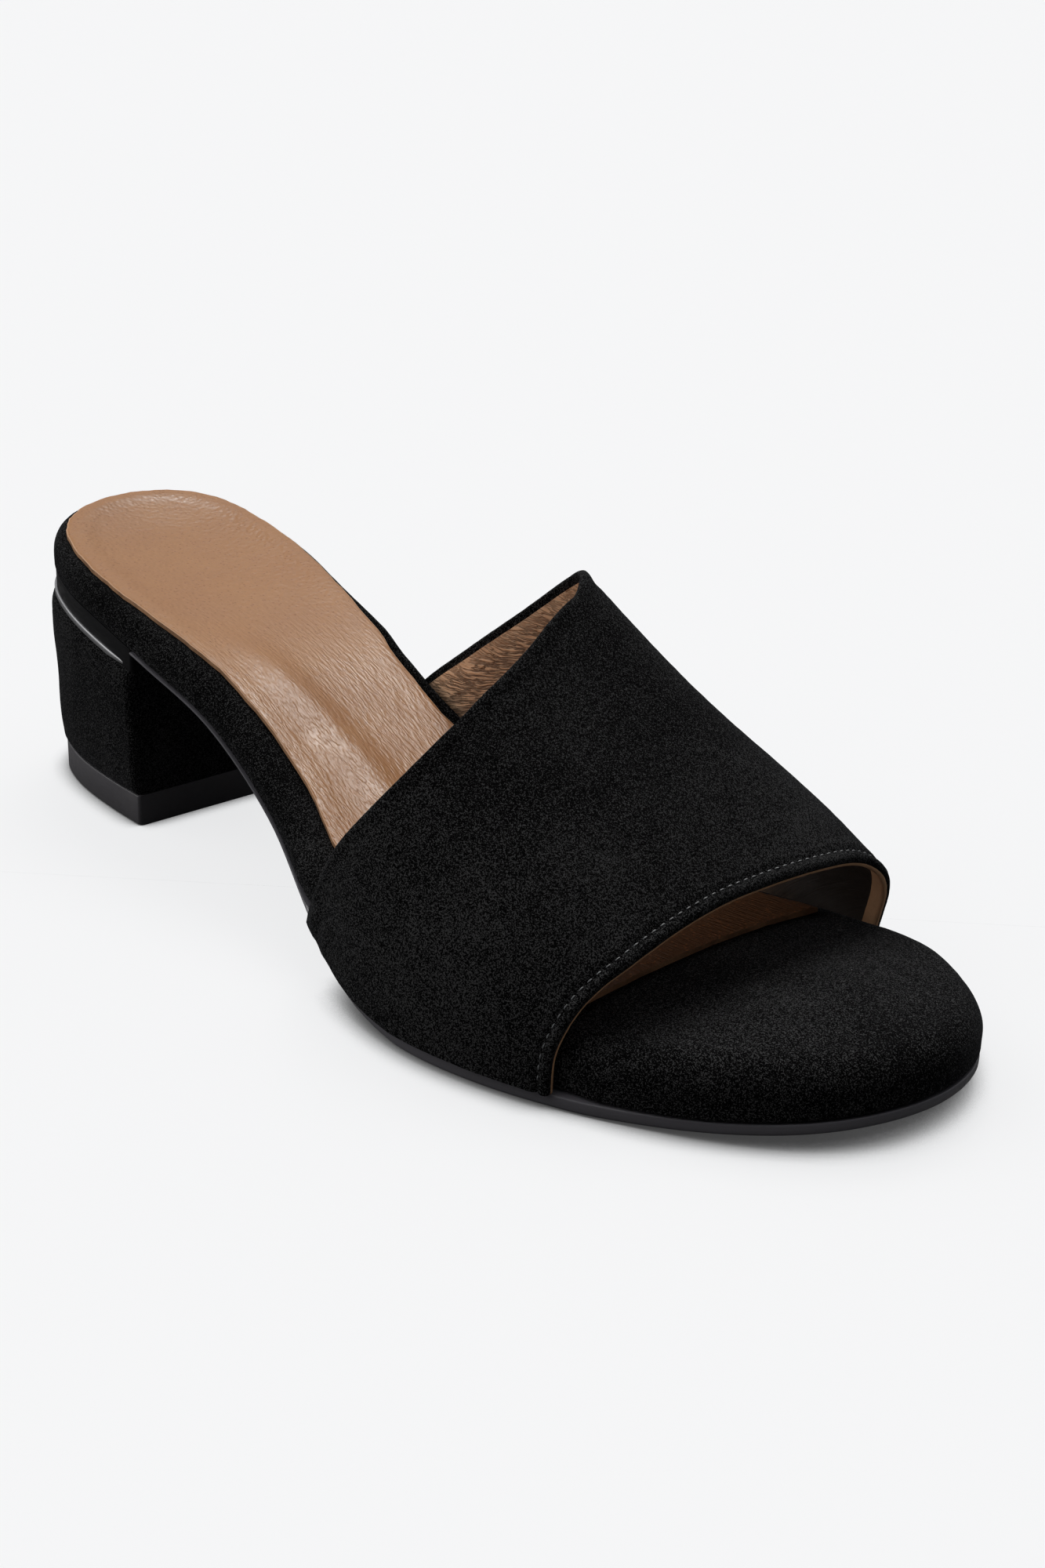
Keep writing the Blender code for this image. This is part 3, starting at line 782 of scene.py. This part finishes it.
@once("materials")
def lining_material(name):
    """Tan lining leather, gathered into creases that leave the top line square and then bend along it."""
    material, tree = new_material(name, 0.55, specular_ior_level=0.4)
    sheet, place = add_node(tree, "ShaderNodeUVMap", uv_map="UVMap").outputs["UV"], object_place(tree)
    deep = part_of(tree, sheet, "Y")
    bend = times(tree, times(tree, deep, deep), 95.0)
    wander = times(tree, noise(tree, sheet, 130.0, 2.0, 0.5), 0.004)
    phase = plus(tree, plus(tree, part_of(tree, sheet, "X"), bend), wander)
    drawn = {0: times(tree, phase, 780.0), 1: times(tree, deep, 280.0), 2: 0.0}
    gathers = noise(tree, add_node(tree, "ShaderNodeCombineXYZ", drawn).outputs[0], 1.0, 3.0, 0.55, 0.35)
    crease = between(tree, calculate(tree, "ABSOLUTE", minus(tree, gathers, 0.5)), 0.085, 0.0)
    crease = times(tree, crease, between(tree, deep, 0.0018, 0.006, 0.45, 1.0))
    grain = use(tree, grain_group("leather grain"), place)
    base = blend(tree, times(tree, grain["Shade"], 0.35), colour("lining"), colour("sock_deep"))
    # The creases are darkened in the colour as well: painted shade in the creases.
    base = blend(tree, times(tree, crease, 0.8), base, (0.13, 0.05, 0.022, 1.0))
    # Painted shade: the lining darkens to near black towards the toe, where the inside of the upper lies in
    # shadow.
    ahead = between(tree, part_of(tree, place, "X"), 0.035, 0.062, 0.0, 0.95)
    base = blend(tree, ahead, base, (0.016, 0.009, 0.006, 1.0))
    height = plus(tree, minus(tree, 1.0, crease), times(tree, gathers, 1.2))
    return finish(material, base, plus(tree, height, times(tree, grain["Height"], 0.15)), 1.0, 0.45)


@once("materials")
def raw_edge_material(name, dirt):
    """Cut edge of the tan leather."""
    material, tree = new_material(name, 0.8, specular_ior_level=0.3)
    place = object_place(tree)
    fibres = noise(tree, place, 1400.0, 3.0, 0.7)
    stain = between(tree, noise(tree, place, 160.0, 3.0, 0.6), 0.4, 0.65)
    base = blend(tree, times(tree, fibres, 0.2 + dirt), colour("raw_edge"), colour("sock_deep"))
    base = blend(tree, times(tree, stain, dirt), base, (0.10, 0.05, 0.03, 1.0))
    return finish(material, base, fibres, 0.5, 0.15)


@once("materials")
def sole_material(name, scratches, shade, dust=0.35, shine=0.5):
    """Smooth black rubber or leather, with faint scratches and a little dust."""
    material, tree = new_material(name, 0.42, specular_ior_level=shine)
    place = object_place(tree)
    cloudy = between(tree, noise(tree, place, 90.0, 4.0, 0.6), 0.45, 0.75)
    drawn = noise(tree, scaled(tree, place, (0.25, 1.0, 1.0)), 900.0, 2.0, 0.6)
    lint = times(tree, use(tree, lint_group("lint"), place)["Mask"], 0.5)
    dusty = blend(tree, times(tree, cloudy, dust), colour(shade), (0.11, 0.105, 0.11, 1.0))
    base = blend(tree, lint, dusty, (0.35, 0.34, 0.33, 1.0))
    return finish(material, base, drawn, scratches, 0.03, between(tree, drawn, 0.3, 0.7, 0.40, 0.56))


@once("materials")
def trim_material(name):
    material, tree = new_material(name, 0.34, metallic=0.85)
    brushed = noise(tree, scaled(tree, object_place(tree), (0.15, 0.15, 1.0)), 1800.0, 2.0, 0.6)
    base = blend(tree, times(tree, brushed, 0.4), colour("trim"), (0.25, 0.25, 0.26, 1.0))
    return finish(material, base, brushed, 0.2, 0.02, between(tree, brushed, 0.3, 0.7, 0.28, 0.42))


@once("materials")
def thread_material(name):
    material, tree = new_material(name, 0.6, specular_ior_level=0.4)
    twist = noise(tree, scaled(tree, object_place(tree), (1.0, 1.0, 0.4)), 5200.0, 2.0, 0.6)
    base = blend(tree, between(tree, twist, 0.35, 0.65), (0.10, 0.10, 0.105, 1.0), colour("thread"))
    return finish(material, base, twist, 0.6, 0.05)


@once("materials")
def paper_material(name):
    """White paper that the camera sees glowing as if lit from behind: painted light that keeps the shadows on it
    light.
    """
    constants = {"base_color": colour("floor"), "emission_color": (0.985, 0.99, 1.0, 1.0)}
    material, tree = new_material(name, 1.0, specular_ior_level=0.0, **constants)
    seen = add_node(tree, "ShaderNodeLightPath").outputs["Is Camera Ray"]
    # The glow fades where the shoe stands within a few millimetres: a painted contact shadow on the floor.
    open_air = add_node(tree, "ShaderNodeAmbientOcclusion", {"Distance": 7.5 * MM}, samples=8).outputs["AO"]
    glow = times(tree, seen, between(tree, open_air, 0.34, 0.84, 0.05, 0.785))
    tree.links.new(glow, tree.nodes["Principled BSDF"].inputs["Emission Strength"])
    return material


class SANDAL_OT_upper(bpy.types.Operator):
    """Lasts the suede band over the foot, with its lining and folded edges"""

    bl_idname = "sandal.upper"
    bl_label = "Upper"

    def execute(self, context):
        even = np.linspace(0, 1, UPPER_STEPS_ROUND + 1)
        turn = 0.6 * even + 0.4 * (1 - np.cos(np.pi * even)) / 2
        rear, front = upper_edges(turn)
        wall, radius = size("upper_wall"), size("upper_wall") / 2
        near = np.linspace(0, EDGE_RUN, EDGE_STEPS)
        span = front - rear - 2 * radius - 2 * EDGE_RUN
        stations = [rear + radius + step for step in near]
        stations += [stations[-1] + span * share for share in np.linspace(0, 1, MIDDLE_STEPS)[1:-1]]
        stations += [front - radius - step for step in near[::-1]]
        around = lengths_along(upper_point(rear, turn))
        sections = []
        for x in stations:
            point, normal, ahead = surface_frame(x, turn)
            behind, before = x - rear, front - x
            rise = swellings(behind, REAR_SWELLS) + swellings(before, FRONT_SWELLS)
            rise += swelling(before, size("stitch_inset"), *STITCH_GROOVE)
            rise += swellings(behind, LASTED_LUMPS) * swelling(turn, *LUMPS_ROUND)
            thick = wall - (wall - size("edge_wall")) * np.exp(-((behind / EDGE_THINNING) ** 2))
            outside, inside = point + normal * rise[:, None], point - normal * thick[:, None]
            sections.append((outside, inside, (outside + inside) / 2, np.stack([around, behind], -1) * MM, ahead))
        outer, inner, middles, sheets, aheads = zip(*sections)

        # From the rear edge over the outside, round the front edge, back along the inside and round the fold
        last = len(stations) - 1
        taken = [(outer[index], index, SUEDE) for index in range(last + 1)]
        down = inner[last] - outer[last]
        for depth, reach, material in FRONT_SECTION:
            taken.append((outer[last] + down * depth + aheads[last] * reach, last, material))
        folded, cut = (np.count_nonzero(near < width) for width in (size("fold_width"), LINING_EDGE_WIDTH))
        for index in range(last, -1, -1):
            taken.append((inner[index], index, SUEDE if index < folded else RIM if last - index < cut else LINING))
        half = (outer[0] - inner[0]) / 2
        bulge = aheads[0] * np.linalg.norm(half, axis=-1)[:, None]
        for angle in np.linspace(np.pi, 0, FOLD_STEPS + 2)[1:-1]:
            taken.append((middles[0] + half * np.cos(angle) - bulge * np.sin(angle), 0, SUEDE))
        taken.append(taken[0])
        rows, places, bands = (np.array(part) for part in zip(*taken))
        middle, sheet = np.array(middles)[places], np.array(sheets)[places]
        rows = np.concatenate([middle[:, :1], rows, middle[:, -1:]], axis=1)
        sheet = np.concatenate([sheet[:, :1], sheet, sheet[:, -1:]], axis=1)
        materials = [suede_material("upper_suede", 26.0), lining_material("lining_leather")]
        materials += [raw_edge_material("lining_rim", 0.15), raw_edge_material("pale_edge", 0.0)]
        piece = drape("suede_upper", rows, materials, bands, sheet, close=False)
        ruffle(piece, 1.6, 0.12)
        dress(piece, "suede", "upper")
        return {"FINISHED"}


class SANDAL_OT_stitches(bpy.types.Operator):
    """Sews one row of grey thread behind the front opening"""

    bl_idname = "sandal.stitches"
    bl_label = "Stitches"

    def execute(self, context):
        fine = np.linspace(*STITCH_ROW, 1500)
        point, normal, _ = surface_frame(upper_edges(fine)[1] - size("stitch_inset"), fine)
        steps = lengths_along(point)

        def at(values, place):
            return np.array([np.interp(place, steps, values[:, k]) for k in range(3)])

        deselect_all()
        bpy.ops.mesh.primitive_uv_sphere_add(segments=8, ring_count=6, radius=1)
        stitch = context.object
        ball = np.array([vertex.co[:] for vertex in stitch.data.vertices])
        loops = [list(polygon.vertices) for polygon in stitch.data.polygons]
        bpy.data.objects.remove(stitch, do_unlink=True)
        vertices, faces = [], []
        radius, pitch = size("thread_radius"), size("stitch_pitch")
        bow = STITCH_BOW * (1 - ball[:, 2:3] ** 2) - STITCH_SINK
        for centre in np.arange(pitch / 2, steps[-1], pitch):
            along = at(point, centre + 0.4) - at(point, centre - 0.4)
            along /= np.linalg.norm(along)
            up = at(normal, centre)
            spot = along * ball[:, 2:3] * size("stitch_length") / 2 + np.cross(up, along) * ball[:, :1] * radius
            spot = at(point, centre) + spot + up * (ball[:, 1:2] * radius + bow)
            faces += [[len(vertices) + corner for corner in loop] for loop in loops]
            vertices += [tuple(vertex) for vertex in (spot - ORIGIN) * MM]
        mesh = bpy.data.meshes.new("front_stitches")
        mesh.from_pydata(vertices, [], faces)
        mesh.materials.append(thread_material("thread"))
        piece = bpy.data.objects.new("front_stitches", mesh)
        context.scene.collection.objects.link(piece)
        edit_all(piece, (bpy.ops.mesh.normals_make_consistent, {"inside": False}))
        bpy.ops.object.shade_smooth()
        dress(piece, "suede")
        return {"FINISHED"}


class SANDAL_OT_footbed(bpy.types.Operator):
    """Wraps the platform in suede, with its padded rim and domed toe"""

    bl_idname = "sandal.footbed"
    bl_label = "Footbed"

    def execute(self, context):
        loop = whole_outline()
        side, rim = bed_side_inset(loop), loop.rim()
        wall, top = loop.inset(side), loop.inset(side + rim)
        lip = np.where(loop.is_outer, 0.0, plan_value("inner_lip", loop.turns))
        rows = cap(loop.inset(side + BED_FOOT_ROUND), (0.0, 0.4, 0.8, 1.0), lambda x: sole_top(x) + GAP)
        x = wall[:, 0]
        rise = BED_RIM_RISE * (bed_top(x, 1) - sole_top(x))
        low, high = sole_top(x) + GAP + BED_FOOT_ROUND, bed_top(x, 1) - rise
        for angle in np.radians((25, 50, 75, 90)):
            flat = loop.inset(side + BED_FOOT_ROUND * (1 - np.sin(angle)))
            rows.append(ring(flat, low - BED_FOOT_ROUND * np.cos(angle)))
        rows += [ring(wall, low + (high - low) * share) for share in (0.3, 0.6, 0.9)]
        for degrees in np.linspace(0, 90, 16):
            angle = np.radians(degrees)
            flat = loop.inset(side + rim * (1 - np.cos(angle)))
            fold = lip * np.interp(degrees, *BED_LIP_FOLD)
            rows.append(ring(flat, bed_top(flat[:, 0], 1) - rise * (1 - np.sin(angle)) + fold))
        for share in np.linspace(1, 0, 22)[1:]:
            flat = toward_middle(top, share)
            hollow = BED_HOLLOW * np.interp(flat[:, 0], *BED_HOLLOW_ALONG)
            hollow = hollow * np.clip((BED_HOLLOW_EDGE - share) / 0.1, 0, 1)
            rows.append(ring(flat, bed_top(flat[:, 0], share) - hollow))
        piece = drape("suede_footbed", rows, [suede_material("footbed_suede", 34.0, 0.20)])
        ruffle(piece, 3.0, 0.14)
        dress(piece, "suede", "footbed")
        return {"FINISHED"}


class SANDAL_OT_sock(bpy.types.Operator):
    """Lays the tan leather sock on the footbed"""

    bl_idname = "sandal.sock"
    bl_label = "Sock"

    def execute(self, context):
        loop = whole_outline()
        top = loop.inset(bed_side_inset(loop) + loop.rim())
        angle = np.arange(len(top)) / len(top) * 2 * np.pi
        edge = top + loop.inward * (0.10 * np.sin(47 * angle) + 0.07 * np.sin(113 * angle + 1.0))[:, None]
        near_side = np.where(loop.is_outer, 1.0, -1.0)
        thickness = size("sock_thickness")

        # The underside, the cut edge, and then the face with its relief
        sections = [(share, SOCK_LIES_AT, 0) for share in (0.0, 0.5, SOCK_SHARE)]
        sections += [(SOCK_SHARE, GAP + thickness * lift, 0) for lift in (0.4, 0.75)]
        sections.append((SOCK_SHARE - 0.009, GAP + thickness - SOCK_EDGE_ROUND, 1))
        face = (SOCK_SHARE - 0.02, *np.linspace(SOCK_SHARE - 0.04, 0, 44))
        sections += [(share, GAP + thickness, 1) for share in face]
        rows = []
        for share, lift, relief in sections:
            flat = toward_middle(edge, share)
            x = flat[:, 0]
            rows.append(ring(flat, bed_top(x, share) + lift + relief * sock_relief(x, share, near_side)))
        materials = [sock_material("tan_sock"), raw_edge_material("raw_edge", 0.5)]
        materials.append(raw_edge_material("pale_edge", 0.0))
        bands = [1] * 4 + [2] + [0] * len(face)
        piece = drape("leather_sock", rows, materials, bands)
        trim_off(piece, SOCK_FRONT, keep_front=False)
        dress(piece, "sock_leather", "insole")
        return {"FINISHED"}


class SANDAL_OT_outsole(bpy.types.Operator):
    """Moulds the thin outsole from the heel breast to the toe"""

    bl_idname = "sandal.outsole"
    bl_label = "Outsole"

    def execute(self, context):
        loop = whole_outline()
        rows = cap(loop.inset(1.0), (0.0, 0.35, 0.7, 0.95, 1.0), tread)
        for angle in np.radians((20, 40, 60, 80)):
            flat = loop.inset(1.0 - np.sin(angle))
            rows.append(ring(flat, tread(flat[:, 0]) + (1 - np.cos(angle)) * SOLE_EDGE_RISE))
        x = loop.points[:, 0]
        upright = side_value("sole", x) - SOLE_EDGE_RISE - GAP
        for share in (0.4995, 0.74925, 0.999):
            rows.append(ring(loop.points, tread(x) + SOLE_EDGE_RISE + upright * share))
        for angle in np.radians((30, 60, 90)):
            flat = loop.inset(GAP * (1 - np.cos(angle)))
            rows.append(ring(flat, sole_top(flat[:, 0]) - GAP * (1 - np.sin(angle))))
        rows += cap(loop.inset(GAP), (0.93, 0.5, 0.0), sole_top)
        piece = drape("moulded_outsole", rows, [sole_material("sole_edge", 0.25, "sole")])
        trim_off(piece, size("breast") + GAP, keep_front=True)
        dress(piece, "sole_rubber", "outsole")
        return {"FINISHED"}


class SANDAL_OT_heel(bpy.types.Operator):
    """Builds the covered block, its lift, its neck and its trim"""

    bl_idname = "sandal.heel"
    bl_label = "Heel"

    def execute(self, context):
        lift = size("lift_height")
        foot = lift + LIFT_SEAM
        levels = [np.linspace(0, 0.1, 8)[:-1], np.linspace(0.1, 0.84, 24)[:-1], np.linspace(0.84, 1, 18)]
        levels = np.concatenate(levels)
        insets = smooth(HEEL_BLOCK["level"], HEEL_BLOCK["inset"], levels)
        rows = heel_rows(insets, levels, BLOCK_CORNER, lambda x: foot, ledge)
        block = drape("suede_heel_block", rows, [suede_material("heel_suede", 30.0)])
        ruffle(block, 3.0, 0.10)
        dress(block, "suede", "heel_block")

        section = [(0.9, 0.0), (0.45, 0.05), (0.15, 0.25), (0.0, 0.6), (0.0, lift * 0.5)]
        section += [(0.0, lift - 0.3), (0.08, lift - 0.1), (0.28, lift)]
        insets, heights = np.array(section).T
        rows = heel_rows(LIFT_INSET + insets, heights / lift, LIFT_CORNER, lambda x: 0.0, lambda x: lift)
        piece = drape("heel_lift", rows, [sole_material("lift_rubber", 0.3, "lift")])
        dress(piece, "sole_rubber", "top_lift")

        seam_low, seam_high = (lambda x: ledge(x) + NECK_SEAMS[0]), (lambda x: sole_top(x) + NECK_SEAMS[1])
        rows = heel_rows([NECK_INSET] * 5, np.linspace(0, 1, 5), LIFT_CORNER, seam_low, seam_high)
        neck = drape("heel_neck_band", rows, [sole_material("neck_leather", 0.2, "neck", 0.02, 0.12)])
        dress(neck, "sole_rubber", "heel_neck")

        end = size("breast") - TRIM_END
        loop = Outline(np.linspace(0, turn_of((end - 0.1) / size("length")), 2 * HEEL_STEPS))
        count = len(loop.points)
        order = (np.arange(count) + count // 2 + 1) % count
        points, inward = loop.points[order], loop.inward[order]
        from_end = (end - points[:, 0]) / TRIM_POINT_RUN
        width = np.clip(from_end, 0.02, 1.0) ** 0.5
        rise = TRIM_THICKNESS * np.clip(from_end, 0.03, 1.0) ** 0.6
        rows = []
        for out, up in TRIM_SECTION:
            flat = points + inward * (TRIM_DEPTH - (TRIM_DEPTH - TRIM_STANDS_OUT) * out * width)[:, None]
            rows.append(ring(flat, ledge(flat[:, 0]) + 0.05 + (TRIM_THICKNESS - rise) / 2 + rise * up))
        rows = np.array([*rows, rows[0]])
        middle = np.broadcast_to(rows[:-1].mean(0), rows.shape)
        rows = np.concatenate([middle[:, :1], rows, middle[:, -1:]], axis=1)
        trim = drape("heel_trim_strip", rows, [trim_material("satin_trim")], close=False)
        dress(trim, "trim_metal", "heel_trim")
        return {"FINISHED"}


class SANDAL_OT_stage(bpy.types.Operator):
    """Sets the floor and its backdrop, the soft lights and the camera"""

    bl_idname = "sandal.stage"
    bl_label = "Studio"

    def execute(self, context):
        scene = context.scene
        deselect_all()
        bpy.ops.mesh.primitive_plane_add(size=80, location=(0, 0, 0))
        floor = context.object
        floor.name = "studio_floor"
        floor.data.materials.append(paper_material("studio_paper"))

        scene.world = bpy.data.worlds.new("studio")
        scene.world.use_nodes = True
        tree = scene.world.node_tree
        background = tree.nodes["Background"]
        background.inputs["Color"].default_value = (0.975, 0.985, 1.0, 1.0)
        direction = add_node(tree, "ShaderNodeTexCoord").outputs["Generated"]
        facing = add_node(tree, "ShaderNodeVectorMath", {0: direction, 1: BRIGHT_SKY}, operation="DOT_PRODUCT")
        strength = between(tree, facing.outputs["Value"], -0.30, 0.95, 0.03, 0.66)
        tree.links.new(strength, background.inputs["Strength"])
        for name, toward, spread, strength in SUNS:
            light = bpy.data.lights.new(name, "SUN")
            light.angle = np.radians(spread)
            light.energy = strength
            light.color = SUN_COLOUR
            lamp = bpy.data.objects.new(name, light)
            lamp.visible_diffuse = name != "gloss light"
            scene.collection.objects.link(lamp)
            lamp.location = -1.5 * Vector(toward)
            lamp.rotation_euler = Vector(toward).to_track_quat("-Z", "Y").to_euler()

        camera = bpy.data.cameras.new("camera")
        camera.sensor_width = 36
        camera.lens = LENS
        camera.shift_x, camera.shift_y = LENS_SHIFT
        camera.clip_start = 0.01
        azimuth, elevation, roll = np.radians(CAMERA_ANGLES)
        right = np.array([np.cos(azimuth), np.sin(azimuth), 0])
        back = np.cos(elevation) * np.array([np.sin(azimuth), -np.cos(azimuth), 0]) + (0, 0, np.sin(elevation))
        up = np.cross(back, right)
        rolled = np.cos(roll) * right + np.sin(roll) * up
        upright = -np.sin(roll) * right + np.cos(roll) * up
        place = (np.array(CAMERA_CENTRE) + CAMERA_DISTANCE * back - ORIGIN) * MM
        pose = np.vstack([np.column_stack([rolled, upright, back, place]), (0, 0, 0, 1)])
        viewer = bpy.data.objects.new("camera", camera)
        scene.collection.objects.link(viewer)
        viewer.matrix_world = Matrix(pose.tolist())
        scene.camera = viewer
        scene.view_settings.view_transform = "Standard"
        return {"FINISHED"}


class SANDAL_PT_panel(bpy.types.Panel):
    """Lists the sandal's pieces, sizes and colours"""

    bl_idname = "SANDAL_PT_panel"
    bl_label = "Block heel sandal"
    bl_space_type = "VIEW_3D"
    bl_region_type = "UI"
    bl_category = "Sandal"

    def draw(self, context):
        for operator in PIECES:
            self.layout.operator(operator.bl_idname)
        for settings in (context.scene.sandal_sizes, context.scene.sandal_colours):
            box = self.layout.box()
            for name in type(settings).__annotations__:
                box.prop(settings, name)


PIECES = (
    SANDAL_OT_outsole,
    SANDAL_OT_footbed,
    SANDAL_OT_sock,
    SANDAL_OT_upper,
    SANDAL_OT_stitches,
    SANDAL_OT_heel,
    SANDAL_OT_stage,
)


def register():
    for item in (SandalSizes, SandalColours, *PIECES, SANDAL_PT_panel):
        bpy.utils.register_class(item)
    bpy.types.Scene.sandal_sizes = PointerProperty(type=SandalSizes)
    bpy.types.Scene.sandal_colours = PointerProperty(type=SandalColours)


def unregister():
    del bpy.types.Scene.sandal_sizes
    del bpy.types.Scene.sandal_colours
    for item in (SANDAL_PT_panel, *reversed(PIECES), SandalColours, SandalSizes):
        bpy.utils.unregister_class(item)


def main():
    register()
    for operator in PIECES:
        getattr(bpy.ops.sandal, operator.bl_idname.split(".")[1])()


if __name__ == "__main__":
    main()
